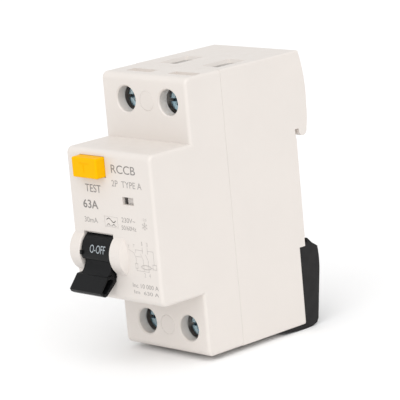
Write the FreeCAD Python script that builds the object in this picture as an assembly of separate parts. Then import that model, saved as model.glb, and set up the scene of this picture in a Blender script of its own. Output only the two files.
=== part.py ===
"""Two-pole residual current device for a 35 mm top-hat rail, built as separate pieces.

Millimetres. X = 0 is the middle of the width, with +X to the right seen from the front.
Y = 0 is the plane that rests on the rail, with +Y to the rear. Z = 0 is the rail's centre line.
The toggle is at OFF, the contacts are open and the four terminals are fully open.
"""
import FreeCAD
import Part
import math
import os

os.makedirs("parts", exist_ok=True)

V = FreeCAD.Vector
X_AXIS = V(1, 0, 0)
Y_AXIS = V(0, 1, 0)
Z_AXIS = V(0, 0, 1)

# ---- housing ----
HALF_W = 18.0             # two modules of 18 mm
TOP = 41.1
BOTTOM = -42.4
NOSE_FRONT = -60.3
NOSE_TOP = 21.7
NOSE_BOTTOM = -23.3
SHOULDER = -43.7
SEAM = -29.5              # front cover and rear base part here
WALL = 1.8
END_WALL = 2.2            # walls that the cables come through
EDGE_R = 1.0              # side edges
FRONT_EDGE_R = 2.0        # front edges that run across the width
BASE_EDGE_R = 0.6
SEAM_GAP = 0.06           # shadow line that shows round the joint
SEAM_DEPTH = 0.08
LOWER_REAR = -2.2         # rear face beside the rail clip
SEAT_BOTTOM = -15.9
STEP_BOTTOM = -18.4
SEAT_RELIEF = 0.15
HALL_TOP = 24.5           # mechanism bay, between the two partitions
PARTITION = 1.6
IN_X = HALF_W - WALL
IN_FRONT = NOSE_FRONT + WALL
IN_SHOULDER = SHOULDER + WALL
IN_REAR = -2.2
POCKET_WALL = -9.4        # inner face behind the rail clip's pocket

# ---- terminals, one per corner ----
LEFT_POLE = -8.0          # the poles sit 1 mm to the right of the housing's middle
RIGHT_POLE = 10.0
POLES = (LEFT_POLE, RIGHT_POLE)
MID_POLES = (LEFT_POLE + RIGHT_POLE) / 2
UPPER_Z = 33.45
LOWER_Z = -34.4
SCREW_HOLE_R = 3.9
SCREW_TUBE_R = 5.0
SCREW_TUBE_REAR = -40.4
HEAD_FRONT = -39.4
HEAD_R = 3.5
HEAD_H = 2.1
SHANK_R = 2.45
SHANK_TIP = -27.8
THREAD_CLEAR = 0.05
BUS_FRONT = -27.5
BUS_T = 1.5
BUS_W = 7.0
CAGE_W = 10.4
CAGE_H = 8.4
CAGE_SIDE = 1.2
CAGE_LID = 1.6
CAGE_FRONT = -30.5
CAGE_REAR = -15.0
ENTRY_W = 6.2
ENTRY_SHIFT = 0.6         # entry's centre, from its pole
ENTRY_FRONT = -25.9
ENTRY_REAR = -15.2
ENTRY_FLARE = 0.6

# ---- case screws between the poles ----
BOSS_R = 3.4
CASE_HEAD_R = 2.7
CASE_SHANK_R = 1.45
CAP_R = 2.95
CAP_T = 1.2

# ---- toggle ----
TOGGLE_Y = -55.8
TOGGLE_Z = -9.6
DRUM_R = 6.5
DRUM_LEFT = -13.2
DRUM_RIGHT = -1.0
DRUM_CLEAR = 0.3
GRIP_LEFT = -14.3
GRIP_RIGHT = -0.8
NECK_STEP_Z = -11.2       # the drum's face steps in below this
NECK_STEP = 0.8
SLOT_LEFT = -13.5
SLOT_RIGHT = -0.7
SLOT_TOP = -3.7
SLOT_BOTTOM = -16.5
SLOT_CHAMFER = 0.6
LOBE_R = 7.1              # cheeks on both sides of the drum
LOBE_RIGHT = 3.9
LOBE_TAPER = 1.3
LUG_R = 7.0               # small stop lug at the drum's left end
LUG_BOTTOM = -9.9
LUG_TOP = -8.7
AXLE_R = 1.25
AXLE_LEFT = -16.6
AXLE_RIGHT = 1.6
RUN_CLEAR = 0.05
CRANK_R = 3.6             # link pin circle in the drum
TOGGLE_TURN = 68.0        # swing from OFF up to ON
CRANK_ANGLE = 90.0 + TOGGLE_TURN / 2   # from +Y towards +Z at OFF
LINK_X = -3.4
LINK_R = 0.6

# ---- contact carrier ----
CARRIER_Y = -41.5
CARRIER_Z = -18.0
CARRIER_R = 2.6
CARRIER_AXLE_R = 1.0
CARRIER_ARM = 11.9        # link eye circle
OPEN_ANGLE = 20.0         # swing between open and closed
ARM_BACK = 1.8            # contact strip's front face, from the carrier axis
STRIP_T = 1.0
TIP_R = 1.8
TIP_T = 1.0
TIP_Z = 17.0
RUNNER_FRONT = -36.55     # fixed contact runner's front face

# ---- summation transformer ----
CORE_Y = -17.0
CORE_Z = -13.1
CORE_OUT_R = 12.0
CORE_IN_R = 5.5
CORE_HALF_H = 4.5
WINDING_T = 0.8
PRIMARY_R = 1.4

# ---- relay, trip lever and indicator ----
RELAY = (4.5, 15.5, -57.0, -47.0, -20.0, -3.0)
PLUNGER_X = 10.0
PLUNGER_Y = -52.0
TRIP_X = 2.0
TRIP_Z = 0.2
FLAG_Y = -52.5
FLAG_Z = 7.4
FLAG_R = 6.5
FLAG_PIN_R = 0.8
FLAG_LEFT = 5.9
FLAG_RIGHT = 10.0
FLAG_HUB_LEFT = 4.0
WINDOW = (4.95, 9.6, 6.3, 8.6)

# ---- test button ----
BUTTON = (-12.0, -1.4, 13.8, 19.85)
BUTTON_FRONT = -63.75
STEM_X = -6.7
STEM_Z = 16.8

# ---- circuit board ----
BOARD_FRONT = -7.0
BOARD_T = 1.6

# ---- rail clip ----
CLIP_HALF_W = 17.5


def box(x0, x1, y0, y1, z0, z1):
    return Part.makeBox(x1 - x0, y1 - y0, z1 - z0, V(x0, y0, z0))


def rod_x(r, x0, x1, y, z):
    return Part.makeCylinder(r, x1 - x0, V(x0, y, z), X_AXIS)


def rod_y(r, y0, y1, x, z):
    return Part.makeCylinder(r, y1 - y0, V(x, y0, z), Y_AXIS)


def rod_z(r, z0, z1, x, y):
    return Part.makeCylinder(r, z1 - z0, V(x, y, z0), Z_AXIS)


def outline(points):
    """Closed face through the points; a (middle, end) pair makes an arc from the point before it."""
    edges = []
    last = points[0]
    for step in points[1:] + [points[0]]:
        if isinstance(step, tuple):
            middle, end = step
            edges.append(Part.Arc(last, middle, end).toShape())
            last = end
        else:
            edges.append(Part.LineSegment(last, step).toShape())
            last = step
    return Part.Face(Part.Wire(edges))


def prism_x(points, x0, x1):
    """Prism along X over (y, z) points; a pair of such points is an arc."""
    def place(p):
        if isinstance(p[0], tuple):
            return (V(x0, *p[0]), V(x0, *p[1]))
        return V(x0, *p)
    return outline([place(p) for p in points]).extrude(V(x1 - x0, 0, 0))


def prism_z(points, z0, z1):
    return outline([V(x, y, z0) for x, y in points]).extrude(V(0, 0, z1 - z0))


def fused(shapes):
    return shapes[0].multiFuse(shapes[1:]).removeSplitter()


def group(shapes):
    return Part.makeCompound(shapes)


def turned(shape, y, z, degrees):
    """The shape turned about the X direction through (y, z)."""
    copy = shape.copy()
    copy.rotate(V(0, y, z), X_AXIS, degrees)
    return copy


def helix_spring(mean_r, wire_r, length, turns, base, axis):
    """Round-wire coil spring of the given length over its wire, from base along axis."""
    end_clear = wire_r * 1.1 + 0.02
    rise = length - 2 * end_clear
    coil = Part.makeHelix(rise / turns, rise, mean_r)
    profile = Part.Wire(Part.makeCircle(wire_r, V(mean_r, 0, 0), Y_AXIS))
    spring = Part.Wire(coil).makePipeShell([profile], True, True)
    spring.Placement = FreeCAD.Placement(base + axis * end_clear, FreeCAD.Rotation(Z_AXIS, axis))
    return spring


def bent_rod(points, r, bend):
    """Round rod along straight runs joined by tangent arcs of radius bend."""
    edges = []
    start = points[0]
    for i in range(1, len(points) - 1):
        back = (points[i - 1] - points[i]).normalize()
        ahead = (points[i + 1] - points[i]).normalize()
        half = math.acos(max(-1.0, min(1.0, back.dot(ahead)))) / 2
        reach = bend / math.tan(half)
        inward = (back + ahead).normalize()
        a = points[i] + back * reach
        b = points[i] + ahead * reach
        m = points[i] + inward * (bend / math.sin(half) - bend)
        edges.append(Part.LineSegment(start, a).toShape())
        edges.append(Part.Arc(a, m, b).toShape())
        start = b
    edges.append(Part.LineSegment(start, points[-1]).toShape())
    profile = Part.Wire(Part.makeCircle(r, points[0], points[1] - points[0]))
    return Part.Wire(edges).makePipeShell([profile], True, True)


def save(name, shape):
    shape.exportStep("parts/" + name + ".step")


# ---------------------------------------------------------------- housing
def housing_block():
    """Outer form of cover and base together: nose, shoulders, rail hook and seat."""
    points = [
        (NOSE_FRONT, NOSE_BOTTOM), (NOSE_FRONT, NOSE_TOP), (SHOULDER, NOSE_TOP), (SHOULDER, TOP),
        (3.4, TOP), ((5.1, 33.0), (5.3, 24.0)), ((5.1, 20.0), (4.6, 17.2)),
        ((3.7, 15.5), (2.2, 15.4)), (1.35, 16.3), (1.3, 17.7), (-0.4, 17.7), (-0.4, 16.4),
        (0.0, 14.6), (0.0, SEAT_BOTTOM), (-SEAT_RELIEF, SEAT_BOTTOM), (-SEAT_RELIEF, STEP_BOTTOM),
        (LOWER_REAR, STEP_BOTTOM), (LOWER_REAR, BOTTOM), (SHOULDER, BOTTOM), (SHOULDER, NOSE_BOTTOM),
    ]
    return prism_x(points, -HALF_W, HALF_W)


def is_front_edge(edge):
    """True for the outer corner edges that run across the front of the nose and the shoulders."""
    b = edge.BoundBox
    on_nose = b.YMax < NOSE_FRONT + 0.01
    on_shoulder = abs(b.YMax - SHOULDER) < 0.01 and (b.ZMin > TOP - 0.01 or b.ZMax < BOTTOM + 0.01)
    return b.XLength > HALF_W and (on_nose or on_shoulder)


def is_side_edge(edge):
    """True for the edges of the two side faces, without those at the seam."""
    b = edge.BoundBox
    return b.XLength < 0.01 and abs(b.XMin) > HALF_W - 0.01 and b.YMin < SEAM - 0.01


def terminal_places():
    """Name, x and z of the four terminals, and the sign of z."""
    for row, z, sign in (("upper", UPPER_Z, 1), ("lower", LOWER_Z, -1)):
        for side, x in (("left", LEFT_POLE), ("right", RIGHT_POLE)):
            yield row + "_" + side, x, z, sign


def end_inside(sign):
    """Inner face of the upper or lower end wall."""
    return TOP - END_WALL if sign > 0 else BOTTOM + END_WALL


def toggle_cheeks():
    """Round cheeks on both sides of the toggle; the right one tapers back into the nose."""
    front_half = box(-20, 20, -70, NOSE_FRONT + 0.5, -30, 10)
    left = rod_x(LOBE_R, -HALF_W, SLOT_LEFT, TOGGLE_Y, TOGGLE_Z)
    left = left.makeFillet(0.4, [e for e in left.Edges if e.Curve.TypeId == "Part::GeomCircle"])
    right = rod_x(LOBE_R, SLOT_RIGHT, LOBE_RIGHT, TOGGLE_Y, TOGGLE_Z)
    right = right.makeFillet(0.4, [e for e in right.Edges if e.BoundBox.XMax < SLOT_RIGHT + 0.01])
    root_r = TOGGLE_Y - NOSE_FRONT
    taper = Part.makeCone(LOBE_R, root_r, LOBE_TAPER, V(LOBE_RIGHT, TOGGLE_Y, TOGGLE_Z), X_AXIS)
    return [left.common(front_half), fused([right, taper]).common(front_half)]


def front_cover():
    whole = housing_block()
    block = whole.common(box(-20, 20, -70, SEAM, -50, 50))
    block = block.makeFillet(FRONT_EDGE_R, [e for e in block.Edges if is_front_edge(e)])
    block = block.makeFillet(EDGE_R, [e for e in block.Edges if is_side_edge(e)])
    nose = box(-IN_X, IN_X, IN_FRONT, IN_SHOULDER + 0.1, NOSE_BOTTOM + WALL, NOSE_TOP - WALL)
    hall = box(-IN_X, IN_X, IN_SHOULDER, SEAM, -HALL_TOP, HALL_TOP)
    hollow = [nose, hall]
    for sign in (1, -1):
        low, high = sorted((sign * (HALL_TOP + PARTITION), end_inside(sign)))
        hollow.append(box(-IN_X, IN_X, IN_SHOULDER, SEAM, low, high))
    shell = block.cut(hollow)

    extra = []
    for z, sign in ((UPPER_Z, 1), (LOWER_Z, -1)):
        extra.append(rod_y(BOSS_R, IN_SHOULDER - 0.2, SEAM, MID_POLES, z))
        low, high = sorted((sign * (HALL_TOP + 0.5), end_inside(sign) + sign * 0.5))
        extra.append(box(MID_POLES - 0.8, MID_POLES + 0.8, IN_SHOULDER - 0.2, SEAM, low, high))
    for _, x, z, _ in terminal_places():
        extra.append(rod_y(SCREW_TUBE_R, IN_SHOULDER - 0.2, SCREW_TUBE_REAR, x, z))
    extra.extend(toggle_cheeks())
    # blocks behind the cheeks that hold the ends of the toggle's axle
    extra.append(box(-HALF_W + 0.5, SLOT_LEFT, IN_FRONT - 0.2, TOGGLE_Y + 4.5,
                     TOGGLE_Z - 4.5, TOGGLE_Z + 4.5))
    extra.append(box(SLOT_RIGHT, AXLE_RIGHT, IN_FRONT - 0.2, TOGGLE_Y + 4.5, TOGGLE_Z - 5.5, TOGGLE_Z + 5.5))
    # rib behind the test button that guides its stem and carries its spring
    extra.append(box(-IN_X - 0.2, -0.4, -50.4, -49.2, 11.4, NOSE_TOP - WALL + 0.2))
    # bearings of the indicator flag
    for x0 in (FLAG_HUB_LEFT - 1.7, FLAG_RIGHT + 0.9):
        extra.append(box(x0, x0 + 1.5, IN_FRONT - 0.2, FLAG_Y + 2.0, FLAG_Z - 2.0, FLAG_Z + 2.0))
    cover = fused([shell] + extra)

    cuts = []
    for _, x, z, _ in terminal_places():
        cuts.append(rod_y(SCREW_HOLE_R, SHOULDER - 1, SCREW_TUBE_REAR + 0.2, x, z))
        cuts.append(Part.makeCone(SCREW_HOLE_R + 0.4, SCREW_HOLE_R, 0.4, V(x, SHOULDER - 0.01, z), Y_AXIS))
    for z in (UPPER_Z, LOWER_Z):
        cuts.append(rod_y(CASE_SHANK_R + 0.15, SHOULDER - 1, SEAM + 1, MID_POLES, z))
        cuts.append(rod_y(CAP_R + 0.02, SHOULDER - 1, SHOULDER + CAP_T + 0.05, MID_POLES, z))
        cuts.append(rod_y(CASE_HEAD_R + 0.1, SHOULDER, SHOULDER + 3.6, MID_POLES, z))
    # toggle opening
    cuts.append(rod_x(DRUM_R + DRUM_CLEAR, SLOT_LEFT, SLOT_RIGHT, TOGGLE_Y, TOGGLE_Z))
    cuts.append(rod_x(LUG_R + DRUM_CLEAR, SLOT_LEFT, SLOT_LEFT + 1.2, TOGGLE_Y, TOGGLE_Z))
    cuts.append(box(SLOT_LEFT, SLOT_RIGHT, -70, TOGGLE_Y, SLOT_BOTTOM, SLOT_TOP))
    cuts.append(prism_x([
        (NOSE_FRONT - 0.01, SLOT_TOP + SLOT_CHAMFER), (NOSE_FRONT + SLOT_CHAMFER, SLOT_TOP),
        (NOSE_FRONT - 0.01, SLOT_TOP - SLOT_CHAMFER),
    ], SLOT_LEFT, SLOT_RIGHT))
    cuts.append(rod_x(AXLE_R + 0.01, AXLE_LEFT - 0.2, AXLE_RIGHT, TOGGLE_Y, TOGGLE_Z))
    # test button opening, with the space its flange needs
    x0, x1, z0, z1 = BUTTON
    cuts.append(box(x0 - 0.1, x1 + 0.1, -70, IN_FRONT + 1, z0 - 0.1, z1 + 0.1))
    cuts.append(box(STEM_X - 1.7, STEM_X + 1.7, -51, -48, STEM_Z - 1.7, STEM_Z + 1.7))
    # indicator window, with the wall thinned behind it
    x0, x1, z0, z1 = WINDOW
    cuts.append(box(x0, x1, -70, IN_FRONT + 1, z0, z1))
    cuts.append(box(x0 - 1, x1 + 1, NOSE_FRONT + 1.0, IN_FRONT + 1, FLAG_Z - 4.2, FLAG_Z + 4.2))
    cuts.append(rod_x(FLAG_PIN_R + 0.01, FLAG_HUB_LEFT - 1.7, FLAG_RIGHT + 2.4, FLAG_Y, FLAG_Z))
    # carrier axle sockets and label recesses
    cuts.append(rod_x(CARRIER_AXLE_R + 0.01, -HALF_W + 0.8, HALF_W - 0.8, CARRIER_Y, CARRIER_Z))
    for x in POLES:
        for z0, z1 in ((TOP - 0.9, TOP + 1), (BOTTOM - 1, BOTTOM + 0.9)):
            cuts.append(box(x - 3.6, x + 6.8, -39.4, -35.8, z0, z1))
    return cover.cut(cuts)


def rear_base():
    whole = housing_block()
    block = whole.common(box(-20, 20, SEAM, 20, -50, 50))
    rims = []
    for edge in block.Edges:
        b = edge.BoundBox
        on_side = b.XLength < 0.01
        at_end = b.ZMin > TOP - 0.01 or b.ZMax < BOTTOM + 0.01
        on_lower_rear = abs(b.YMin - LOWER_REAR) < 0.01 and abs(b.YMax - LOWER_REAR) < 0.01
        behind_clip = on_lower_rear and b.ZMin < STEP_BOTTOM
        if on_side and (at_end or behind_clip and b.ZLength > 5) or behind_clip and b.ZMax < BOTTOM + 0.01:
            rims.append(edge)
    block = block.makeFillet(BASE_EDGE_R, rims)
    shadow_line = whole.common(box(-20, 20, SEAM, SEAM + SEAM_GAP, -50, 50))
    core_x = HALF_W - SEAM_DEPTH
    shadow_line = shadow_line.cut(box(-core_x, core_x, SEAM - 1, SEAM + 1, BOTTOM + SEAM_DEPTH, TOP - SEAM_DEPTH))
    block = block.cut(shadow_line)
    hollow = [box(-IN_X, IN_X, SEAM - 1, IN_REAR, -19.6, HALL_TOP)]
    hollow.append(box(-IN_X, IN_X, SEAM - 1, POCKET_WALL, -HALL_TOP, -19.5))
    for sign, rear in ((1, IN_REAR), (-1, POCKET_WALL)):
        low, high = sorted((sign * (HALL_TOP + PARTITION), end_inside(sign)))
        hollow.append(box(-IN_X, IN_X, SEAM - 1, rear, low, high))
    shell = block.cut(hollow)

    extra = []
    for z, sign in ((UPPER_Z, 1), (LOWER_Z, -1)):
        extra.append(rod_y(BOSS_R, SEAM, -9.2, MID_POLES, z))
        low, high = sorted((sign * (HALL_TOP + 0.5), end_inside(sign) + sign * 0.5))
        rear = IN_REAR if sign > 0 else POCKET_WALL
        extra.append(box(MID_POLES - 0.8, MID_POLES + 0.8, SEAM, rear + 0.2, low, high))
    for x in (-12.0, 12.0):
        for z in (4.2, 19.4):
            extra.append(rod_y(1.5, BOARD_FRONT + BOARD_T, -2.0, x, z))
    # side ledges under the summation transformer
    for side in (-1, 1):
        x0, x1 = sorted((side * (IN_X + 0.2), side * (CORE_OUT_R - 1.5)))
        extra.append(box(x0, x1, -24.0, -3.0, CORE_Z - 6.5, CORE_Z - 5.4))
    base = fused([shell] + extra)

    cuts = []
    for z in (UPPER_Z, LOWER_Z):
        cuts.append(rod_y(CASE_SHANK_R + 0.01, SEAM - 1, -14.0, MID_POLES, z))
    for _, x, z, sign in terminal_places():
        low, high = sorted((sign * (HALL_TOP - 1), sign * (HALL_TOP + PARTITION + 1)))
        cuts.append(box(x - BUS_W / 2 - 0.6, x + BUS_W / 2 + 0.6, SEAM - 1, BUS_FRONT + BUS_T + 0.5, low, high))
        cuts.append(cable_entry(x, sign))
    # guide pocket of the rail clip: wide flange groove and narrow slot through the rear face
    cuts.append(box(-6.8, 6.8, -7.45, -4.75, -40.3, -21.2))
    cuts.append(box(-4.3, 4.3, -7.45, 1, -40.3, -21.2))
    return base.cut(cuts)


def cable_entry(x, sign):
    """Rounded window through the end wall with a funnel mouth."""
    face = TOP if sign > 0 else BOTTOM
    low, high = sorted((end_inside(sign) - sign * 0.5, face + sign * 1.0))
    centre = x + ENTRY_SHIFT
    window = box(centre - ENTRY_W / 2, centre + ENTRY_W / 2, ENTRY_FRONT, ENTRY_REAR, low, high)
    window = window.makeFillet(1.2, [e for e in window.Edges if e.BoundBox.ZLength > 2])
    wires = []
    for grow, z in ((0.0, face - sign * 1.0), (ENTRY_FLARE, face + sign * 0.01)):
        x0 = centre - ENTRY_W / 2 - grow
        x1 = centre + ENTRY_W / 2 + grow
        y0 = ENTRY_FRONT - grow
        y1 = ENTRY_REAR + grow
        wires.append(Part.makePolygon([V(x0, y0, z), V(x1, y0, z), V(x1, y1, z), V(x0, y1, z), V(x0, y0, z)]))
    funnel = Part.makeLoft(wires, True)
    return window.fuse(funnel)


def case_screw(z):
    x = MID_POLES
    head = rod_y(CASE_HEAD_R, SHOULDER + 1.5, SHOULDER + 3.6, x, z)
    head = head.cut([
        box(x - 0.35, x + 0.35, SHOULDER, SHOULDER + 2.6, z - 1.6, z + 1.6),
        box(x - 1.6, x + 1.6, SHOULDER, SHOULDER + 2.6, z - 0.35, z + 0.35),
    ])
    shank = rod_y(CASE_SHANK_R, SHOULDER + 3.6, -14.2, x, z)
    return fused([head, shank])


def screw_cap(z):
    cap = rod_y(CAP_R, SHOULDER - 0.05, SHOULDER + CAP_T, MID_POLES, z)
    rim = [e for e in cap.Edges if e.BoundBox.YMax < SHOULDER]
    return cap.makeFillet(0.15, rim)


# ---------------------------------------------------------------- terminals
def terminal_screw(x, z):
    head = rod_y(HEAD_R, HEAD_FRONT, HEAD_FRONT + HEAD_H, x, z)
    head = head.makeFillet(0.3, [e for e in head.Edges if e.BoundBox.YMax < HEAD_FRONT + 0.01])
    slot = box(x - 3.6, x + 3.6, HEAD_FRONT - 1, HEAD_FRONT + 1.2, z - 0.5, z + 0.5)
    cross = [slot]
    cross.append(box(x - 0.55, x + 0.55, HEAD_FRONT - 1, HEAD_FRONT + 1.5, z - 2.2, z + 2.2))
    cross.append(Part.makeCone(1.7, 0.5, 1.9, V(x, HEAD_FRONT - 0.01, z), Y_AXIS))
    head = head.cut(cross)
    shank = rod_y(SHANK_R, HEAD_FRONT + HEAD_H, SHANK_TIP, x, z)
    shank = shank.makeChamfer(0.5, [e for e in shank.Edges if e.BoundBox.YMin > SHANK_TIP - 0.01])
    # thread crests end in shallow rings
    rings = []
    y = HEAD_FRONT + HEAD_H + 1.2
    while y < SHANK_TIP - 1.5:
        ring = rod_y(SHANK_R + 0.1, y, y + 0.35, x, z).cut(rod_y(SHANK_R - 0.3, y, y + 0.35, x, z))
        rings.append(ring)
        y += 0.8
    return fused([head, shank.cut(rings)])


def cage_clamp(x, z):
    half_w = CAGE_W / 2
    half_h = CAGE_H / 2
    outer = box(x - half_w, x + half_w, CAGE_FRONT, CAGE_REAR, z - half_h, z + half_h)
    outer = outer.makeFillet(1.0, [e for e in outer.Edges if e.BoundBox.ZLength > CAGE_H - 0.1])
    inner = box(x - half_w + CAGE_SIDE, x + half_w - CAGE_SIDE, CAGE_FRONT + CAGE_LID,
                CAGE_REAR - CAGE_LID, z - CAGE_H, z + CAGE_H)
    bore = rod_y(SHANK_R + THREAD_CLEAR, CAGE_FRONT - 1, CAGE_FRONT + CAGE_LID + 1, x, z)
    return outer.cut([inner, bore])


def fixed_contact(x):
    """Upper terminal bar that runs forward and down to the contact tip."""
    rear = BUS_FRONT + BUS_T
    run_rear = RUNNER_FRONT + BUS_T
    points = [
        (BUS_FRONT, 38.0), (rear, 38.0), (rear, 19.4), (run_rear, 19.4), (run_rear, -3.5),
        (RUNNER_FRONT, -3.5), (RUNNER_FRONT, 20.9), (BUS_FRONT, 20.9),
    ]
    return prism_x(points, x - BUS_W / 2, x + BUS_W / 2)


def lower_bar(x):
    return box(x - BUS_W / 2, x + BUS_W / 2, BUS_FRONT, BUS_FRONT + BUS_T, -38.0, -20.6)


def fixed_tip(x):
    z = CARRIER_Z + TIP_Z
    return rod_y(TIP_R, RUNNER_FRONT - TIP_T, RUNNER_FRONT, x, z)


# ---------------------------------------------------------------- toggle
def crank_pin(angle):
    a = math.radians(angle)
    return TOGGLE_Y + CRANK_R * math.cos(a), TOGGLE_Z + CRANK_R * math.sin(a)


def link_eye():
    """Where the wire link enters the carrier at OFF."""
    a = math.radians(OPEN_ANGLE / 2)
    return CARRIER_Y - CARRIER_ARM * math.sin(a), CARRIER_Z + CARRIER_ARM * math.cos(a)


def link_sweep(pin_y, pin_z):
    """Slot in the drum for every direction that the link takes, seen from the drum."""
    half = LINK_R + 0.35
    turn = math.radians(TOGGLE_TURN)
    reach = 2 * DRUM_R
    side_y = -half * math.sin(turn)
    side_z = half * math.cos(turn)
    far_y = reach * math.cos(turn)
    far_z = reach * math.sin(turn)
    points = [
        (pin_y, pin_z - half), (pin_y + reach, pin_z - half), (pin_y + reach, pin_z + reach),
        (pin_y + far_y + side_y, pin_z + far_z + side_z), (pin_y + side_y, pin_z + side_z),
    ]
    return prism_x(points, LINK_X - 0.9, LINK_X + 0.9)


def toggle_drum():
    """Drum whose printed face steps in towards the neck, with a stop lug at its left end."""
    core = rod_x(DRUM_R - NECK_STEP, DRUM_LEFT, DRUM_RIGHT, TOGGLE_Y, TOGGLE_Z)
    face = rod_x(DRUM_R, DRUM_LEFT, DRUM_RIGHT, TOGGLE_Y, TOGGLE_Z)
    face = face.cut(box(-20, 20, -70, TOGGLE_Y, -30, NECK_STEP_Z))
    lug = rod_x(LUG_R, DRUM_LEFT - 0.2, DRUM_LEFT + 0.7, TOGGLE_Y, TOGGLE_Z)
    lug = lug.common(box(-20, 20, -70, TOGGLE_Y - 4.5, LUG_BOTTOM, LUG_TOP))
    return fused([core, face, lug])


def toggle():
    neck = prism_x([
        (-57.0, -9.6), (-61.3, -11.6), ((-61.8, -13.4), (-63.8, -15.6)),
        (-62.0, -17.0), (-60.3, -15.8), (-57.6, -13.2),
    ], DRUM_LEFT + 0.3, DRUM_RIGHT - 0.3)
    grip = prism_x([
        (-63.9, -15.45), (-67.3, -19.45), (-66.8, -20.3), (-65.6, -21.0), (-64.7, -20.8),
        (-62.2, -18.7), (-60.65, -17.3), (-60.6, -16.3), (-61.6, -15.35),
    ], GRIP_LEFT, GRIP_RIGHT)
    grip = grip.makeFillet(0.25, [e for e in grip.Edges if e.BoundBox.XLength > 10])
    window = prism_x([
        (-63.9, -16.2), (-66.5, -19.3), (-66.0, -20.1), (-65.1, -20.1), (-62.2, -17.4),
        (-61.9, -16.6), (-62.7, -16.1),
    ], GRIP_LEFT - 1, GRIP_RIGHT + 1)
    body = fused([toggle_drum(), neck, grip])

    pin_y, pin_z = crank_pin(CRANK_ANGLE)
    cuts = [
        window,
        link_sweep(pin_y, pin_z),
        rod_x(LINK_R + 0.35, LINK_X - 0.9, LINK_X + 0.9, pin_y, pin_z),
        rod_x(LINK_R + RUN_CLEAR, LINK_X - 4.0, LINK_X, pin_y, pin_z),
        rod_x(AXLE_R + RUN_CLEAR, -16, 0, TOGGLE_Y, TOGGLE_Z),
        rod_x(4.0, DRUM_LEFT - 1, DRUM_LEFT + 2.7, TOGGLE_Y, TOGGLE_Z),
    ]
    return body.cut(cuts)


def wire_link():
    pin_y, pin_z = crank_pin(CRANK_ANGLE)
    eye_y, eye_z = link_eye()
    points = [
        V(LINK_X - 3.8, pin_y, pin_z), V(LINK_X, pin_y, pin_z),
        V(LINK_X, eye_y, eye_z), V(LINK_X + 3.2, eye_y, eye_z),
    ]
    return bent_rod(points, LINK_R, 0.8)


# ---------------------------------------------------------------- contact carrier
def carrier_body():
    """Modelled closed, with the contact strips upright, then swung open by the caller."""
    y = CARRIER_Y
    z = CARRIER_Z
    tube = rod_x(CARRIER_R, -14.6, 14.6, y, z)
    parts = [tube]
    for x in POLES:
        parts.append(box(x - 3.6, x + 3.6, y - 1.6, y + ARM_BACK, z, z + 9.0))
    a = math.radians(OPEN_ANGLE / 2)
    arm_left = LINK_X + 1.1
    arm = box(arm_left, arm_left + 2.4, y - 1.9, y + 1.9, z, z + CARRIER_ARM + 1.9)
    arm.rotate(V(0, y, z), X_AXIS, -OPEN_ANGLE / 2)
    parts.append(arm)
    body = fused(parts)
    eye_y = y + CARRIER_ARM * math.sin(a)
    eye_z = z + CARRIER_ARM * math.cos(a)
    x0 = arm_left - 0.7
    x1 = arm_left + 3.3
    slot = fused([
        rod_x(LINK_R + 0.15, x0, x1, eye_y, eye_z - 0.6),
        rod_x(LINK_R + 0.15, x0, x1, eye_y, eye_z + 0.6),
        box(x0, x1, eye_y - LINK_R - 0.15, eye_y + LINK_R + 0.15, eye_z - 0.6, eye_z + 0.6),
    ])
    cuts = [slot, rod_x(CARRIER_AXLE_R + RUN_CLEAR, -16, 16, y, z)]
    for x in POLES:
        cuts.append(rod_y(1.5, y - 0.6, y + 4, x, z + 6.5))
    return body.cut(cuts)


def moving_strip(x):
    front = CARRIER_Y + ARM_BACK
    strip = box(x - 3.0, x + 3.0, front, front + STRIP_T, CARRIER_Z - 2.0, CARRIER_Z + TIP_Z + 2.0)
    tube = rod_x(CARRIER_R + 0.02, x - 5, x + 5, CARRIER_Y, CARRIER_Z)
    return strip.cut(tube)


def moving_tip(x):
    front = CARRIER_Y + ARM_BACK + STRIP_T
    return rod_y(TIP_R, front, front + TIP_T, x, CARRIER_Z + TIP_Z)


def pressure_spring(x):
    length = 2.3
    base = V(x, CARRIER_Y + ARM_BACK - 0.05 - length, CARRIER_Z + 6.5)
    return helix_spring(1.1, 0.2, length, 3, base, Y_AXIS)


def swung_open(shape):
    return turned(shape, CARRIER_Y, CARRIER_Z, OPEN_ANGLE)


def arc_plates(x):
    """Steel plates stacked above the contact gap."""
    plates = []
    for i in range(5):
        z = 4.6 + 2.1 * i
        plate = box(x - 3.4, x + 3.4, -43.6, -37.8, z, z + 0.8)
        notch = prism_z([(x - 1.3, -37.7), (x + 1.3, -37.7), (x, -41.0)], z - 1, z + 2)
        plates.append(plate.cut(notch))
    return plates


def arc_cheeks(x):
    cheeks = []
    for side in (-1, 1):
        x0, x1 = sorted((x + side * 3.45, x + side * 4.2))
        cheeks.append(box(x0, x1, -43.8, -37.6, 3.8, 14.6))
    return cheeks


# ---------------------------------------------------------------- sensing and tripping
def ring(out_r, in_r, z0, z1):
    return rod_z(out_r, z0, z1, 0, CORE_Y).cut(rod_z(in_r, z0 - 1, z1 + 1, 0, CORE_Y))


def core():
    return ring(CORE_OUT_R, CORE_IN_R, CORE_Z - CORE_HALF_H, CORE_Z + CORE_HALF_H)


def winding():
    t = WINDING_T
    coat = ring(CORE_OUT_R + t, CORE_IN_R - t, CORE_Z - CORE_HALF_H - t, CORE_Z + CORE_HALF_H + t)
    gap = prism_z([(0, CORE_Y), (3.5, CORE_Y + 20), (-3.5, CORE_Y + 20)], CORE_Z - 8, CORE_Z + 8)
    return coat.cut([core(), gap])


def primary(x):
    inner = math.copysign(2.4, x)
    top = CORE_Z + 8.1
    low = CORE_Z - 9.3
    points = [
        V(x, -37.8, CARRIER_Z - 0.2), V(x, -33.2, CARRIER_Z - 0.2), V(x, -33.2, top),
        V(inner, CORE_Y, top), V(inner, CORE_Y, low), V(x, -21.0, low), V(x, BUS_FRONT + BUS_T, low),
    ]
    return bent_rod(points, PRIMARY_R, 1.9)


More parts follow.
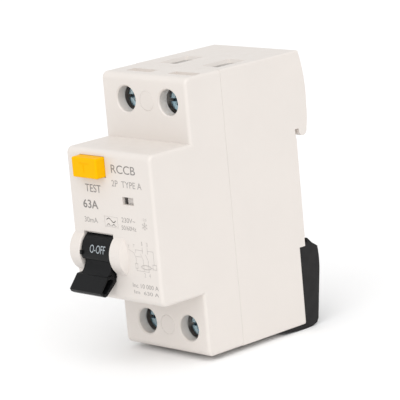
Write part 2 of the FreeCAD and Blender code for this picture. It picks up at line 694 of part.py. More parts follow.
def relay_case():
    x0, x1, y0, y1, z0, z1 = RELAY
    shell = box(x0, x1, y0, y1, z0, z1).cut(box(x0 + 1, x1 - 1, y0 + 1, y1 - 1, z0 + 1, z1 - 1))
    return shell.cut(rod_z(1.3, z1 - 2, z1 + 1, PLUNGER_X, PLUNGER_Y))


def relay_coil():
    z0 = RELAY[4] + 2.6
    z1 = RELAY[5] - 3.2
    return rod_z(3.6, z0, z1, PLUNGER_X, PLUNGER_Y).cut(rod_z(1.6, z0 - 1, z1 + 1, PLUNGER_X, PLUNGER_Y))


def relay_yoke():
    x0, x1, y0, y1, z0, z1 = RELAY
    frame = box(x0 + 1.2, x1 - 1.2, PLUNGER_Y - 2.5, PLUNGER_Y + 2.5, z0 + 1.2, z1 - 1.6)
    inner = box(x0 + 1.9, x1 - 1.9, y0, y1, z0 + 2.4, z1 - 2.9)
    return frame.cut([inner, rod_z(1.5, z1 - 4, z1, PLUNGER_X, PLUNGER_Y)])


def relay_plunger():
    low = RELAY[4] + 4.0
    high = RELAY[5] + 2.4
    pin = rod_z(1.1, low, high, PLUNGER_X, PLUNGER_Y)
    return pin.makeChamfer(0.25, [e for e in pin.Edges if e.BoundBox.ZMin > high - 0.01])


def trip_lever():
    bar = box(-6.0, 11.6, -53.4, -50.6, TRIP_Z - 0.6, TRIP_Z + 0.6)
    hub = rod_y(1.5, -53.4, -50.6, TRIP_X, TRIP_Z)
    foot = box(-6.0, -5.0, -53.4, -50.6, TRIP_Z - 0.9, TRIP_Z)
    return fused([bar, hub, foot]).cut(rod_y(0.8 + RUN_CLEAR, -54, -50, TRIP_X, TRIP_Z))


def trip_pin():
    return rod_y(0.8, IN_FRONT, -48.6, TRIP_X, TRIP_Z)


def indicator_flag():
    """Curved two-zone flag on a hub, with a tail that the carrier moves."""
    x0 = FLAG_LEFT
    x1 = FLAG_RIGHT
    mid = (x0 + x1) / 2
    sector = rod_x(FLAG_R, x0, x1, FLAG_Y, FLAG_Z).cut(rod_x(FLAG_R - 0.9, x0, x1, FLAG_Y, FLAG_Z))
    wedge_points = [(FLAG_Y, FLAG_Z)]
    for degrees in (22, -15, -58):
        a = math.radians(degrees)
        wedge_points.append((FLAG_Y - 9 * math.cos(a), FLAG_Z + 9 * math.sin(a)))
    sector = sector.common(prism_x(wedge_points, x0, x1))
    web = box(mid - 0.5, mid + 0.5, FLAG_Y - FLAG_R + 0.5, FLAG_Y, FLAG_Z - 1.0, FLAG_Z + 1.0)
    web.rotate(V(0, FLAG_Y, FLAG_Z), X_AXIS, 18)
    hub = rod_x(1.6, FLAG_HUB_LEFT, x1 + 0.4, FLAG_Y, FLAG_Z)
    tail = box(mid - 0.5, mid + 0.5, FLAG_Y, FLAG_Y + 5.6, FLAG_Z - 0.6, FLAG_Z + 0.6)
    tail.rotate(V(0, FLAG_Y, FLAG_Z), X_AXIS, -20)
    body = fused([sector, web, hub, tail])
    return body.cut(rod_x(FLAG_PIN_R + RUN_CLEAR, 0, 14, FLAG_Y, FLAG_Z))


def flag_pin():
    return rod_x(FLAG_PIN_R, FLAG_HUB_LEFT - 1.7, FLAG_RIGHT + 2.4, FLAG_Y, FLAG_Z)


# ---------------------------------------------------------------- test circuit
def test_button():
    x0, x1, z0, z1 = BUTTON
    cap = box(x0, x1, BUTTON_FRONT, -57.0, z0, z1)
    cap = cap.makeFillet(0.5, [e for e in cap.Edges if e.BoundBox.YMax < -57.5 or e.BoundBox.YLength > 6])
    flange = box(x0 - 0.9, x1 + 0.9, -57.9, -56.5, z0 - 0.9, z1)
    stem = box(STEM_X - 1.5, STEM_X + 1.5, -57.0, -48.8, STEM_Z - 1.5, STEM_Z + 1.5)
    mark = fused([
        box(STEM_X - 1.9, STEM_X + 2.1, BUTTON_FRONT - 1, BUTTON_FRONT + 0.1, z1 - 1.9, z1 - 1.45),
        box(STEM_X - 0.3, STEM_X + 0.1, BUTTON_FRONT - 1, BUTTON_FRONT + 0.1, z0 + 1.6, z1 - 1.5),
    ])
    return fused([cap, flange, stem]).cut(mark)


def test_strip():
    strip = box(-15.0, -2.6, -48.4, -48.0, STEM_Z - 1.4, STEM_Z + 1.4)
    dimple = rod_y(0.8, -48.0, -47.5, -3.6, STEM_Z)
    return fused([strip, dimple])


def test_post():
    return rod_y(0.6, -42.7, BOARD_FRONT, -3.6, STEM_Z)


# ---------------------------------------------------------------- circuit board
def board():
    return box(-14.0, 14.0, BOARD_FRONT, BOARD_FRONT + BOARD_T, 2.0, 21.6)


def board_rods(r, length, places):
    """Axial components lying on the board, with their leads bent into it."""
    rods = []
    for x, z in places:
        body = rod_x(r, x - length / 2, x + length / 2, BOARD_FRONT - r - 0.5, z)
        leads = [body]
        for side in (-1, 1):
            end = x + side * (length / 2 + 1.2)
            wire = bent_rod([V(x + side * length / 2, BOARD_FRONT - r - 0.5, z),
                             V(end, BOARD_FRONT - r - 0.5, z), V(end, BOARD_FRONT, z)], 0.3, 0.5)
            leads.append(wire)
        rods.append(fused(leads))
    return rods


def capacitor(x, z):
    can = rod_y(3.0, -15.5, BOARD_FRONT, x, z)
    return can.makeFillet(0.4, [e for e in can.Edges if e.BoundBox.YMax < -15.4])


# ---------------------------------------------------------------- rail clip
def rail_clip():
    plate = prism_x([
        (-2.0, -18.7), (0.05, -18.7), (0.05, -17.7), (1.25, -17.7), (1.25, -16.5), (1.5, -16.3),
        (3.3, -18.1), (5.6, -19.6), ((5.95, -24.0), (5.6, -28.2)), (3.6, -42.0), (2.9, -43.2),
        (0.9, -43.8), ((-3.5, -44.0), (-7.0, -43.6)), (-11.4, -42.95), (-11.4, -42.6), (-2.0, -42.6),
    ], -CLIP_HALF_W, CLIP_HALF_W)
    flange = box(-6.5, 6.5, -7.2, -5.0, -29.5, -21.6)
    neck = box(-4.0, 4.0, -5.2, -2.0, -29.5, -21.6)
    grips = box(-3.2, 3.2, -11.4, -8.6, -46, -41)
    return fused([plate, flange, neck]).cut(grips)


def build():
    save("front_cover", front_cover())
    save("rear_base", rear_base())
    both = (UPPER_Z, LOWER_Z)
    save("case_screws", group([case_screw(z) for z in both]))
    save("case_screw_caps", group([screw_cap(z) for z in both]))

    for place, x, z, _ in terminal_places():
        save("terminal_screw_" + place, terminal_screw(x, z))
        save("cage_clamp_" + place, cage_clamp(x, z))

    for side, x in (("left", LEFT_POLE), ("right", RIGHT_POLE)):
        save("fixed_contact_" + side, fixed_contact(x))
        save("lower_terminal_bar_" + side, lower_bar(x))
        save("moving_contact_" + side, swung_open(moving_strip(x)))
        save("primary_conductor_" + side, primary(x))
        save("arc_plates_" + side, group(arc_plates(x)))
    save("fixed_contact_tips", group([fixed_tip(x) for x in POLES]))
    save("moving_contact_tips", group([swung_open(moving_tip(x)) for x in POLES]))
    save("contact_pressure_springs", group([swung_open(pressure_spring(x)) for x in POLES]))
    save("arc_chute_cheeks", group(arc_cheeks(LEFT_POLE) + arc_cheeks(RIGHT_POLE)))
    save("contact_carrier", swung_open(carrier_body()))
    save("carrier_axle", rod_x(CARRIER_AXLE_R, -17.0, 17.0, CARRIER_Y, CARRIER_Z))

    save("toggle", toggle())
    save("toggle_axle", rod_x(AXLE_R, AXLE_LEFT, AXLE_RIGHT, TOGGLE_Y, TOGGLE_Z))
    spring_start = V(DRUM_LEFT + 0.4, TOGGLE_Y, TOGGLE_Z)
    save("toggle_spring", helix_spring(2.6, 0.3, 2.0, 2.6, spring_start, X_AXIS))
    save("wire_link", wire_link())

    save("transformer_core", core())
    save("transformer_winding", winding())
    save("relay_case", relay_case())
    save("relay_coil", relay_coil())
    save("relay_yoke", relay_yoke())
    save("relay_plunger", relay_plunger())
    save("trip_lever", trip_lever())
    save("trip_lever_pin", trip_pin())
    save("indicator_flag", indicator_flag())
    save("flag_pin", flag_pin())

    save("test_button", test_button())
    button_spring_base = V(STEM_X, -56.4, STEM_Z)
    save("test_button_spring", helix_spring(2.5, 0.3, 5.8, 4, button_spring_base, Y_AXIS))
    save("test_contact_strip", test_strip())
    save("test_contact_post", test_post())

    save("circuit_board", board())
    save("board_resistors", group(board_rods(0.9, 4.0, [(8.0, 18.5), (8.0, 15.0), (1.5, 9.0)])))
    save("test_resistor", board_rods(1.5, 8.0, [(-7.0, 6.0)])[0])
    save("board_diodes", group(board_rods(0.8, 3.2, [(1.5, 5.5), (8.0, 5.5)])))
    save("board_capacitor", capacitor(8.5, 10.3))

    save("rail_clip", rail_clip())
    save("clip_spring", helix_spring(1.8, 0.3, 9.8, 7, V(0, -5.0, -39.9), Z_AXIS))


build()
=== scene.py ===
"""Two-pole residual current device: materials, printed marks, light and camera round the CAD model.

Metres in the model's frame: +X to the right seen from the front, +Y to the rear, +Z up.
"""

import math

import bmesh
import bpy
from mathutils import Matrix, Vector


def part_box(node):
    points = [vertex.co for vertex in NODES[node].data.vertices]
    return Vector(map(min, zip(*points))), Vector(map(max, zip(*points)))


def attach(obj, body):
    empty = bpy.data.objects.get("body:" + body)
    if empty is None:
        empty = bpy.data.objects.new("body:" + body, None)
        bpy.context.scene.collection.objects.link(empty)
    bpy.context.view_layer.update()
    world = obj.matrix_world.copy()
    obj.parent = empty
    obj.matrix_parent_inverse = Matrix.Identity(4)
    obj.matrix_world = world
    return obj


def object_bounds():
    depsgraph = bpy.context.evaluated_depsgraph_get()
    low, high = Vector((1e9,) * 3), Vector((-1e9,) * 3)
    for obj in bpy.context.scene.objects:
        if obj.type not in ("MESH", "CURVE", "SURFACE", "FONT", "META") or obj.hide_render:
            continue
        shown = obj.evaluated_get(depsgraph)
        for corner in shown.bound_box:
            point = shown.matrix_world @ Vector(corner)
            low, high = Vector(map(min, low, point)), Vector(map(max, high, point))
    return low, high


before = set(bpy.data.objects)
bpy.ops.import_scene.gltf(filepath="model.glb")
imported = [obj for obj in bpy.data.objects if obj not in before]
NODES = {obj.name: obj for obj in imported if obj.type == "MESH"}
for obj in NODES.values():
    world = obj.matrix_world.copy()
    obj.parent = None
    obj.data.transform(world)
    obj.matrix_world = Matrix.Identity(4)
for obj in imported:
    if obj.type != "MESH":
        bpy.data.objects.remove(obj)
cad_box = [list(corner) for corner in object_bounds()]

MM = 0.001
SCENE = bpy.context.scene


# ---------------------------------------------------------------- materials
class Recipe:
    """A Principled material whose colour, gloss and relief come from noise in the object's own space."""

    def __init__(self, name):
        self.material = bpy.data.materials.new(name)
        self.material.use_nodes = True
        self.tree = self.material.node_tree
        self.shader = self.tree.nodes["Principled BSDF"]
        self.where = self.tree.nodes.new("ShaderNodeTexCoord").outputs["Object"]
        self.height = None

    def add(self, kind, **settings):
        node = self.tree.nodes.new(kind)
        for key, value in settings.items():
            setattr(node, key, value)
        return node

    def link(self, source, socket):
        self.tree.links.new(source, socket)

    def math(self, operation, a, b=0.0):
        node = self.add("ShaderNodeMath", operation=operation)
        for socket, value in zip(node.inputs, (a, b)):
            if isinstance(value, (int, float)):
                socket.default_value = value
            else:
                self.link(value, socket)
        return node.outputs[0]

    def axes(self):
        node = self.add("ShaderNodeSeparateXYZ")
        self.link(self.where, node.inputs[0])
        return node.outputs

    def noise(self, size_mm, detail=2.0, stretch=(1, 1, 1), rough=0.5):
        """Noise whose features are about size_mm, drawn out along the axes by stretch."""
        scale = self.add("ShaderNodeMapping")
        scale.inputs["Scale"].default_value = [1 / s for s in stretch]
        self.link(self.where, scale.inputs[0])
        node = self.add("ShaderNodeTexNoise")
        node.inputs["Scale"].default_value = 1 / (size_mm * MM)
        node.inputs["Detail"].default_value = detail
        node.inputs["Roughness"].default_value = rough
        self.link(scale.outputs[0], node.inputs["Vector"])
        return node.outputs["Fac"]

    def cells(self, size_mm):
        node = self.add("ShaderNodeTexVoronoi")
        node.inputs["Scale"].default_value = 1 / (size_mm * MM)
        self.link(self.where, node.inputs["Vector"])
        return node.outputs["Distance"]

    def spread(self, value, low, high, from_low=0.3, from_high=0.7):
        node = self.add("ShaderNodeMapRange")
        self.link(value, node.inputs["Value"])
        node.inputs["From Min"].default_value = from_low
        node.inputs["From Max"].default_value = from_high
        node.inputs["To Min"].default_value = low
        node.inputs["To Max"].default_value = high
        return node.outputs[0]

    def mix(self, factor, a, b):
        node = self.add("ShaderNodeMix", data_type="RGBA")
        self.link(factor, node.inputs["Factor"])
        for socket, value in ((node.inputs["A"], a), (node.inputs["B"], b)):
            if isinstance(value, tuple):
                socket.default_value = (*value, 1.0)
            else:
                self.link(value, socket)
        return node.outputs["Result"]

    def colour(self, output):
        self.link(output, self.shader.inputs["Base Color"])

    def gloss(self, value, low, high):
        self.link(self.spread(value, low, high), self.shader.inputs["Roughness"])

    def relief(self, value, depth_mm):
        """Adds a height field; calls stack."""
        bump = self.add("ShaderNodeBump")
        bump.inputs["Distance"].default_value = depth_mm * MM
        self.link(value, bump.inputs["Height"])
        if self.height is not None:
            self.link(self.height, bump.inputs["Normal"])
        self.height = bump.outputs[0]
        self.link(self.height, self.shader.inputs["Normal"])

    def set(self, **sockets):
        for name, value in sockets.items():
            self.shader.inputs[name.replace("_", " ")].default_value = value
        return self


def shaded(colour, factor):
    return tuple(min(1.0, c * factor) for c in colour)


def moulded(name, colour, gloss=(0.36, 0.5), grain_mm=0.16, depth_mm=0.012, mottle=0.03, scuff=0.0):
    """Injection-moulded plastic: eroded tool grain, faint flow mottling, and scuffs where wanted."""
    r = Recipe(name)
    base = r.mix(r.spread(r.noise(14.0, 3.0), 0, 1), shaded(colour, 1 - mottle), shaded(colour, 1 + mottle))
    fleck = r.spread(r.noise(0.35, 2.0), 0, 1, 0.35, 0.65)
    fleck_share = r.math("MULTIPLY", fleck, 0.35)
    base = r.mix(fleck_share, base, shaded(colour, 1 - 1.6 * mottle))
    if scuff:
        marks = r.spread(r.noise(1.1, 6.0, (4.0, 1.0, 0.5), 0.7), 0, scuff, 0.6, 0.72)
        base = r.mix(marks, base, shaded(colour, 3.2))
    r.colour(base)
    r.gloss(r.noise(3.0, 4.0), *gloss)
    r.relief(r.noise(grain_mm, 3.0, rough=0.6), depth_mm)
    r.relief(r.noise(6.0, 1.0), 0.02)
    return r


def metal(name, colour, tint, gloss=(0.22, 0.4), draw=(1, 1, 1), line_mm=0.08, depth_mm=0.004):
    """Metal with fine tool or drawing lines along the stretched axis and a drifting surface tint."""
    r = Recipe(name).set(Metallic=1.0)
    r.colour(r.mix(r.spread(r.noise(2.5, 4.0), 0, 1), colour, tint))
    r.gloss(r.noise(0.9, 4.0), *gloss)
    r.relief(r.noise(line_mm, 3.0, draw), depth_mm)
    return r


def housing_white(name, colour):
    r = moulded(name, colour, gloss=(0.34, 0.46), grain_mm=0.2, depth_mm=0.008, mottle=0.012)
    return r.set(Coat_Weight=0.0, Specular_IOR_Level=0.45).material


def toggle_black():
    colour = (0.0075, 0.0078, 0.0085)
    r = moulded("toggle_black", colour, (0.3, 0.44), 0.14, 0.008, 0.1, 0.3)
    return r.set(Specular_IOR_Level=0.15).material


def clip_charcoal():
    colour = (0.0165, 0.0155, 0.016)
    r = moulded("clip_charcoal", colour, (0.5, 0.66), 0.3, 0.03, 0.12, 0.2)
    return r.set(Specular_IOR_Level=0.2).material


def button_amber():
    r = moulded("button_amber", (0.90, 0.465, 0.0004), (0.4, 0.52), 0.2, 0.004, 0.02)
    return r.set(Specular_IOR_Level=0.05).material


def zinc_blue():
    return metal("zinc_blue", (0.74, 0.92, 1.0), (0.46, 0.74, 0.90), (0.14, 0.3), (1, 1, 1), 0.15).material


def steel(name, colour, draw):
    return metal(name, colour, shaded(colour, 0.82), (0.2, 0.34), draw).material


def copper_bar():
    r = metal("copper_bar", (0.90, 0.47, 0.30), (0.66, 0.30, 0.19), (0.26, 0.44), (1, 1, 12))
    tarnish = r.spread(r.noise(4.0, 5.0), 0, 0.6, 0.52, 0.72)
    r.colour(r.mix(tarnish, (0.86, 0.45, 0.29), (0.42, 0.20, 0.13)))
    return r.material


def thermoset():
    r = moulded("thermoset_black", (0.022, 0.02, 0.019), (0.42, 0.58), 0.25, 0.015, 0.15)
    fleck = r.spread(r.cells(0.5), 1, 0, 0.06, 0.16)
    r.colour(r.mix(fleck, (0.022, 0.02, 0.019), (0.10, 0.09, 0.075)))
    return r.material


def vulcanised_fibre():
    r = moulded("vulcanised_fibre", (0.36, 0.10, 0.05), (0.5, 0.7), 0.3, 0.03, 0.1)
    strands = r.spread(r.noise(0.5, 4.0, (1, 8, 1)), 0, 1)
    r.colour(r.mix(strands, (0.30, 0.08, 0.04), (0.44, 0.15, 0.08)))
    return r.material


def core_powder():
    r = moulded("core_coating", (0.05, 0.055, 0.065), (0.4, 0.6), 0.25, 0.03, 0.1)
    spark = r.spread(r.cells(0.3), 1, 0, 0.04, 0.12)
    r.colour(r.mix(spark, (0.05, 0.055, 0.065), (0.2, 0.21, 0.22)))
    return r.material


def enamelled(name, along_z, centre, turns):
    """Enamelled copper wire laid side by side: ridges round the ring, or stacked up the coil. The colour
    carries painted shade in the grooves between turns and a painted highlight on their crests.
    """
    r = Recipe(name).set(Metallic=0.6, Coat_Weight=0.7, Coat_Roughness=0.15)
    x, y, z = r.axes()
    if along_z:
        phase = r.math("MULTIPLY", z, turns)
    else:
        angle = r.math("ARCTAN2", r.math("SUBTRACT", x, centre[0]), r.math("SUBTRACT", y, centre[1]))
        phase = r.math("MULTIPLY", angle, turns)
    ridge_height_and_painted_shade = r.math("ABSOLUTE", r.math("SINE", phase))
    # painted shade and highlight: the colour is darker in the grooves between turns and lighter on their
    # crests, following the ridge height
    r.colour(r.mix(r.spread(ridge_height_and_painted_shade, 0, 1, 0.0, 0.9), (0.16, 0.03, 0.012), (0.62, 0.20, 0.08)))
    r.gloss(r.noise(0.6, 3.0), 0.2, 0.4)
    r.relief(ridge_height_and_painted_shade, 0.18)
    return r.material


def cable_pvc(name, colour):
    return moulded(name, colour, (0.34, 0.5), 0.3, 0.01, 0.06).material


def board_green():
    """Solder mask over copper: pale wavering tracks in parallel rows under a glossy green coat."""
    r = Recipe("board_green").set(Coat_Weight=0.5, Coat_Roughness=0.12)
    _, _, z = r.axes()
    wander = r.math("MULTIPLY", r.noise(3.0, 0.0), 0.004)
    tracks = r.math("ABSOLUTE", r.math("SINE", r.math("MULTIPLY", r.math("ADD", z, wander), 1500.0)))
    line = r.spread(tracks, 0, 1, 0.75, 0.85)
    r.colour(r.mix(line, (0.008, 0.09, 0.035), (0.03, 0.20, 0.08)))
    r.gloss(r.noise(0.8, 3.0), 0.22, 0.36)
    r.relief(line, 0.03)
    return r.material


def resistor_body(name, colour, bands):
    """Lacquered resistor with colour bands that repeat along its length."""
    r = Recipe(name).set(Coat_Weight=0.6, Coat_Roughness=0.2)
    x, _, _ = r.axes()
    wave = r.math("SINE", r.math("MULTIPLY", x, 5200.0))
    r.colour(r.mix(r.spread(wave, 0, 1, 0.72, 0.78), colour, bands))
    r.gloss(r.noise(0.7, 3.0), 0.3, 0.45)
    r.relief(r.noise(0.5, 2.0), 0.02)
    return r.material


def flag_grey():
    """Indicator flag in one light grey moulding."""
    r = moulded("flag_grey", (0.66, 0.62, 0.59), (0.36, 0.5), 0.2, 0.006, 0.03)
    return r.material


def ink(name, colour, gloss=(0.4, 0.6)):
    """Pad-printed ink, a little uneven in density."""
    r = Recipe(name)
    r.colour(r.mix(r.spread(r.noise(0.45, 3.0), 0, 1), colour, shaded(colour, 1.25)))
    r.gloss(r.noise(0.3, 2.0), *gloss)
    r.relief(r.noise(0.12, 2.0), 0.004)
    return r.material


def assign(material, *names):
    for name in names:
        slots = NODES[name].data.materials
        slots.clear()
        slots.append(material)


def dress_nodes():
    white = (0.72, 0.672, 0.632)
    assign(housing_white("housing_white", white), "front_cover", "rear_base")
    assign(housing_white("cap_white", shaded(white, 0.985)), "case_screw_caps")
    assign(toggle_black(), "toggle")
    assign(clip_charcoal(), "rail_clip")
    assign(button_amber(), "test_button")
    assign(flag_grey(), "indicator_flag")

    zinc = zinc_blue()
    sides = ("left", "right")
    for row in ("upper", "lower"):
        for side in sides:
            assign(zinc, "terminal_screw_" + row + "_" + side, "cage_clamp_" + row + "_" + side)
    assign(zinc, "case_screws", "arc_plates_left", "arc_plates_right")

    copper = copper_bar()
    for side in sides:
        assign(copper, "fixed_contact_" + side, "moving_contact_" + side, "lower_terminal_bar_" + side)
    silver = metal("contact_silver", (0.92, 0.91, 0.88), (0.74, 0.72, 0.68), (0.2, 0.36)).material
    assign(silver, "fixed_contact_tips", "moving_contact_tips")
    assign(vulcanised_fibre(), "arc_chute_cheeks")

    assign(thermoset(), "contact_carrier", "trip_lever")
    ground = steel("steel_ground", (0.72, 0.71, 0.69), (20, 1, 1))
    assign(ground, "carrier_axle", "toggle_axle", "flag_pin", "trip_lever_pin", "relay_plunger", "relay_yoke")
    spring = steel("steel_spring", (0.55, 0.55, 0.56), (1, 1, 6))
    assign(spring, "toggle_spring", "wire_link", "contact_pressure_springs")
    assign(spring, "test_button_spring", "clip_spring")
    brass = metal("brass_strip", (0.86, 0.66, 0.30), (0.62, 0.45, 0.18), (0.24, 0.4), (10, 1, 1)).material
    assign(brass, "test_contact_strip", "test_contact_post")

    ring_low, ring_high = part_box("transformer_core")
    ring_centre = (ring_low + ring_high) / 2
    assign(core_powder(), "transformer_core")
    assign(enamelled("winding_ring", False, ring_centre, 42.0), "transformer_winding")
    assign(enamelled("winding_coil", True, ring_centre, 9000.0), "relay_coil")
    assign(cable_pvc("pvc_blue", (0.03, 0.10, 0.36)), "primary_conductor_left")
    assign(cable_pvc("pvc_brown", (0.16, 0.06, 0.03)), "primary_conductor_right")
    assign(moulded("relay_shell", (0.28, 0.30, 0.33), (0.3, 0.42), 0.2, 0.01, 0.04).material, "relay_case")

    assign(board_green(), "circuit_board")
    assign(resistor_body("resistor_tan", (0.50, 0.34, 0.18), (0.25, 0.03, 0.02)), "board_resistors")
    assign(resistor_body("resistor_blue", (0.14, 0.24, 0.36), (0.05, 0.03, 0.02)), "test_resistor")
    assign(resistor_body("diode_black", (0.02, 0.02, 0.022), (0.55, 0.55, 0.55)), "board_diodes")
    assign(moulded("capacitor_sleeve", (0.02, 0.03, 0.09), (0.25, 0.36), 0.3, 0.006, 0.05).material,
           "board_capacitor")


# ---------------------------------------------------------------- printed marks
NOSE_FRONT = -60.3 * MM
INK = 0.02 * MM           # thickness of a printed mark
SINK = 0.01 * MM          # how far a mark reaches into the surface under it
DRUM_R = 6.5 * MM
DRUM_Y = -55.8 * MM
DRUM_Z = -9.6 * MM
DRUM_CORE_R = 5.7 * MM    # under the neck, where the face steps in


def word_mesh(words, weight):
    """Closed mesh of the words in the XY plane, one unit thick, with its outline widened by weight."""
    curve = bpy.data.curves.new("words", "FONT")
    curve.body = words
    curve.extrude = 0.5
    curve.offset = weight
    curve.resolution_u = 5
    holder = bpy.data.objects.new("words", curve)
    SCENE.collection.objects.link(holder)
    solid = holder.evaluated_get(bpy.context.evaluated_depsgraph_get())
    mesh = bpy.data.meshes.new_from_object(solid)
    bpy.data.objects.remove(holder)
    bpy.data.curves.remove(curve)
    return mesh


def fit(mesh, area):
    """Scales the words to the area (x0, x1, z0, z1), stands them up and makes them ink-thick at y = 0."""
    lows = [min(v.co[i] for v in mesh.vertices) for i in range(3)]
    highs = [max(v.co[i] for v in mesh.vertices) for i in range(3)]
    x0, x1, z0, z1 = (value * MM for value in area)
    for v in mesh.vertices:
        across, up, out = ((v.co[i] - lows[i]) / (highs[i] - lows[i]) for i in range(3))
        v.co = (x0 + across * (x1 - x0), SINK - out * (INK + SINK), z0 + up * (z1 - z0))


def piece(name, mesh, material, body):
    mesh.name = name
    mesh.materials.clear()
    mesh.materials.append(material)
    thing = bpy.data.objects.new(name, mesh)
    SCENE.collection.objects.link(thing)
    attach(thing, body)
    return thing


def cleaned(mesh):
    """Welds the caps to the rims so that the letters are closed solids."""
    bm = bmesh.new()
    bm.from_mesh(mesh)
    bmesh.ops.remove_doubles(bm, verts=bm.verts, dist=1e-7)
    bmesh.ops.recalc_face_normals(bm, faces=bm.faces)
    bm.to_mesh(mesh)
    bm.free()
    return mesh


def print_words(name, words, area, material, weight=0.0):
    mesh = word_mesh(words, weight)
    fit(mesh, area)
    mesh.transform(Matrix.Translation((0, NOSE_FRONT, 0)))
    return piece(name, cleaned(mesh), material, "housing")


def print_on_drum(name, words, across, lift, material, drum_r, turn_deg):
    """Words wrapped on the toggle's drum: across and lift are mm along X and round the drum."""
    mesh = word_mesh(words, -0.006)
    fit(mesh, (*across, *lift))
    bm = bmesh.new()
    bm.from_mesh(mesh)
    step = 0.25
    level = lift[0] + step
    while level < lift[1]:
        geometry = bm.verts[:] + bm.edges[:] + bm.faces[:]
        bmesh.ops.bisect_plane(bm, geom=geometry, plane_co=(0, 0, level * MM), plane_no=(0, 0, 1))
        level += step
    turn = math.radians(turn_deg)
    for v in bm.verts:
        radius = drum_r - v.co.y
        angle = v.co.z / drum_r + turn
        v.co.y = DRUM_Y - radius * math.cos(angle)
        v.co.z = DRUM_Z + radius * math.sin(angle)
    bm.to_mesh(mesh)
    bm.free()
    return piece(name, cleaned(mesh), material, "toggle")


def bar(bm, a, b, width):
    """Adds one straight stroke of ink from a to b, both (x, z) in mm, on the nose."""
    start = Vector((a[0], 0, a[1])) * MM
    end = Vector((b[0], 0, b[1])) * MM
    along = (end - start).normalized()
    side = Vector((-along.z, 0, along.x)) * (width / 2 * MM)
    start -= along * (width / 2 * MM)
    end += along * (width / 2 * MM)
    verts = []
    for y in (NOSE_FRONT - INK, NOSE_FRONT + SINK):
        for corner in (start + side, start - side, end - side, end + side):
            verts.append(bm.verts.new((corner.x, y, corner.z)))
    bm.faces.new(verts[0:4])
    bm.faces.new(reversed(verts[4:8]))
    for i in range(4):
        j = (i + 1) % 4
        bm.faces.new((verts[i], verts[i + 4], verts[j + 4], verts[j]))


def print_lines(name, paths, material, width=0.16):
    """Drawn symbol: every path is a list of (x, z) points in mm joined by strokes."""
    bm = bmesh.new()
    for path in paths:
        for a, b in zip(path, path[1:]):
            bar(bm, a, b, width)
    bmesh.ops.recalc_face_normals(bm, faces=bm.faces)
    mesh = bpy.data.meshes.new(name)
    bm.to_mesh(mesh)
    bm.free()
    return piece(name, mesh, material, "housing")


def rectangle(x0, x1, z0, z1):
    return [(x0, z0), (x1, z0), (x1, z1), (x0, z1), (x0, z0)]


def circle(x, z, r, count=20, start=0.0, sweep=360.0):
    points = []
    for i in range(count + 1):
        a = math.radians(start + sweep * i / count)
        points.append((x + r * math.cos(a), z + r * math.sin(a)))
    return points


def sine(x0, x1, z, height, count=18):
    """One full wave from x0 to x1."""
    steps = [i / count for i in range(count + 1)]
    return [(x0 + (x1 - x0) * t, z + height * math.sin(2 * math.pi * t)) for t in steps]


def class_symbol(material, faint):
    """Boxed wave over a pulsed line: alternating and pulsating fault currents."""
    frame_box = rectangle(-3.7, 1.9, -1.0, 2.1)
    wave = sine(-2.9, 1.1, 1.05, 0.55)
    pulses = [(-3.1, -0.6)]
    for x in (-2.1, 0.1):
        pulses += circle(x, -0.6, 0.5, 8, 180, -180)
    pulses.append((1.3, -0.6))
    return [
        print_lines("mark_class_box", [frame_box], faint, 0.12),
        print_lines("mark_class_wave", [wave], material, 0.24),
        print_lines("mark_class_pulses", [pulses], faint, 0.18),
    ]


def cold_mark(material):
    """Snow crystal under a short bar: the low-temperature mark."""
    x, z, r = 13.4, 0.6, 1.2
    arms = []
    for i in range(6):
        a = math.radians(60 * i + 30)
        tip = (x + r * math.cos(a), z + r * math.sin(a))
        arms.append([(x, z), tip])
        for side in (-35, 35):
            b = a + math.radians(side)
            root = (x + 0.55 * r * math.cos(a), z + 0.55 * r * math.sin(a))
            arms.append([root, (root[0] + 0.4 * math.cos(b), root[1] + 0.4 * math.sin(b))])
    return [
        print_lines("mark_cold", arms, material, 0.14),
        print_words("mark_cold_degrees", "-25", (12.4, 14.4, 2.2, 2.95), material, 0.01),
    ]


def wiring_diagram(material):
    """Two switched poles through a summation ring, with the test branch and the trip relay."""
    left, right, top, low = 11.4, 13.5, -5.9, -12.9
    test, relay = 8.4, 15.3
    paths = []
    for x in (left, right):
        paths.append([(x, top), (x, -7.6)])
        paths.append([(x - 0.9, -7.9), (x, -9.6)])
        paths.append([(x, -9.6), (x, low)])
    ring_turns = [i / 12 * math.pi for i in range(25)]
    ring = [(12.45 + 2.0 * math.cos(a), -11.7 + 0.6 * math.sin(a)) for a in ring_turns]
    paths.append(ring)
    paths.append([(10.5, -8.75), (test, -8.75)])
    paths.append([(left, -6.8), (test, -6.8), (test, -7.7)])
    paths.append([(test - 0.7, -7.9), (test, -9.3), (test, -10.9)])
    paths.append(rectangle(test - 0.45, test + 0.45, -12.3, -10.9))
    paths.append([(test, -12.3), (test, -13.0), (right, -13.0)])
    paths.append([(right, -6.7), (relay + 0.6, -6.7), (relay + 0.6, -10.6)])
    paths.append(rectangle(relay, relay + 1.5, -12.0, -10.6))
    paths.append([(14.45, -11.7), (relay, -11.7)])
    paths.append([(5.6, -7.0), (7.7, -7.8)])
    words = (
        ("1", (left - 0.2, left + 0.2, -5.3, -4.1)), ("3", (right - 0.35, right + 0.35, -5.5, -4.2)),
        ("2", (left - 0.1, left + 0.6, -14.7, -13.4)), ("4", (right - 0.2, right + 0.5, -14.7, -13.4)),
        ("T", (5.2, 6.0, -6.5, -5.6)), ("T", (7.5, 8.3, -6.1, -5.2)),
    )
    pieces = [print_lines("mark_diagram", paths, material, 0.15)]
    for i, (letter, area) in enumerate(words):
        pieces.append(print_words("mark_diagram_%d" % i, letter, area, material))
    return pieces


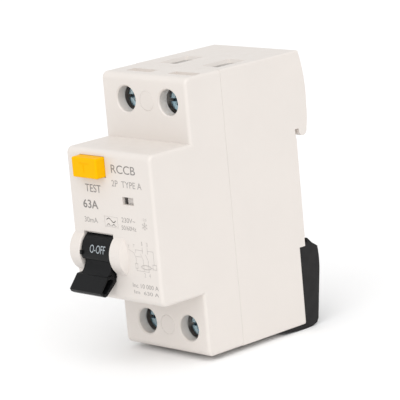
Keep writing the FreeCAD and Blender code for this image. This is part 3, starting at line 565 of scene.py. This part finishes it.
def printed_marks():
    dark = ink("ink_dark_grey", (0.19, 0.178, 0.17))
    grey = ink("ink_grey", (0.30, 0.28, 0.265))
    pale = ink("ink_pale_grey", (0.46, 0.43, 0.405))
    white = ink("ink_white", (0.36, 0.40, 0.43))
    print_words("mark_kind", "RCCB", (1.2, 11.4, 15.4, 17.9), dark)
    print_words("mark_poles", "2P  TYPE A", (0.9, 13.6, 11.4, 13.3), grey)
    print_words("mark_test", "TEST", (-10.9, -4.1, 8.85, 11.2), dark)
    print_words("mark_amps", "63A", (-12.5, -6.0, 3.85, 6.4), dark, 0.015)
    print_words("mark_trip", "30mA", (-12.6, -6.8, -0.45, 1.15), grey)
    print_words("mark_volts", "230V~", (3.7, 9.5, 0.95, 2.4), grey)
    print_words("mark_hertz", "50/60Hz", (3.4, 9.6, -1.3, 0.0), grey)
    print_words("mark_rating_upper", "Inc 10 000 A", (5.9, 16.8, -18.2, -16.9), grey)
    print_words("mark_rating_lower", "Im  630 A", (6.3, 16.7, -20.1, -19.0), grey)
    class_symbol(pale, pale)
    cold_mark(pale)
    wiring_diagram(pale)
    print_on_drum("mark_off", "O-OFF", (-9.5, -3.0), (0.5, 2.9), white, DRUM_R, 0.0)
    print_on_drum("mark_on", "I-ON", (-9.0, -3.6), (-1.9, 0.5), white, DRUM_CORE_R, -68.0)


# ---------------------------------------------------------------- stage, light and camera
def surface(name, corners):
    mesh = bpy.data.meshes.new(name)
    mesh.from_pydata(corners, [], [tuple(range(len(corners)))])
    thing = bpy.data.objects.new(name, mesh)
    SCENE.collection.objects.link(thing)
    return thing


def stage_floor():
    half = 3.0
    z = cad_box[0][2]
    floor = surface("floor", [(-half, -half, z), (half, -half, z), (half, half, z), (-half, half, z)])
    r = Recipe("floor_paper")
    r.colour(r.mix(r.spread(r.noise(90.0, 3.0), 0, 1), (0.955, 0.955, 0.955), (0.965, 0.965, 0.965)))
    r.gloss(r.noise(40.0, 2.0), 0.8, 0.95)
    floor.data.materials.append(r.material)


def soft_sun(name, azimuth, elevation, spread, strength):
    """Wide soft light from far away; azimuth 0 is in front, 90 on the right."""
    a, e = math.radians(azimuth), math.radians(elevation)
    away = Vector((math.sin(a) * math.cos(e), -math.cos(a) * math.cos(e), math.sin(e)))
    data = bpy.data.lights.new(name, "SUN")
    data.angle = math.radians(spread)
    data.energy = strength
    lamp = bpy.data.objects.new(name, data)
    lamp.rotation_euler = away.to_track_quat("Z", "Y").to_euler()
    SCENE.collection.objects.link(lamp)


def lights():
    world = bpy.data.worlds.new("studio")
    world.use_nodes = True
    world.node_tree.nodes["Background"].inputs["Color"].default_value = (1.0, 1.0, 1.0, 1.0)
    world.node_tree.nodes["Background"].inputs["Strength"].default_value = 0.8
    SCENE.world = world
    soft_sun("key", 45, 45, 70, 1.5)


def camera():
    """Eye to the right of the front and a little above, with a long lens."""
    azimuth, elevation, roll = (math.radians(v) for v in (46.804, 12.243, -5.216))
    target = Vector((0.714, -25.73, -0.219)) * MM
    distance = 779.313 * MM
    back = Vector((math.sin(azimuth) * math.cos(elevation),
                   -math.cos(azimuth) * math.cos(elevation), math.sin(elevation)))
    right = Vector((math.cos(azimuth), math.sin(azimuth), 0.0))
    up = back.cross(right)
    across = right * math.cos(roll) + up * math.sin(roll)
    above = up * math.cos(roll) - right * math.sin(roll)
    turn = Matrix((across, above, back)).transposed().to_4x4()
    data = bpy.data.cameras.new("camera")
    data.lens = 234.044
    data.sensor_width = 36.0
    data.clip_end = 20.0
    eye = bpy.data.objects.new("camera", data)
    eye.matrix_world = Matrix.Translation(target + back * distance) @ turn
    SCENE.collection.objects.link(eye)
    SCENE.camera = eye


dress_nodes()
printed_marks()
stage_floor()
lights()
camera()
SCENE.view_settings.view_transform = "Standard"
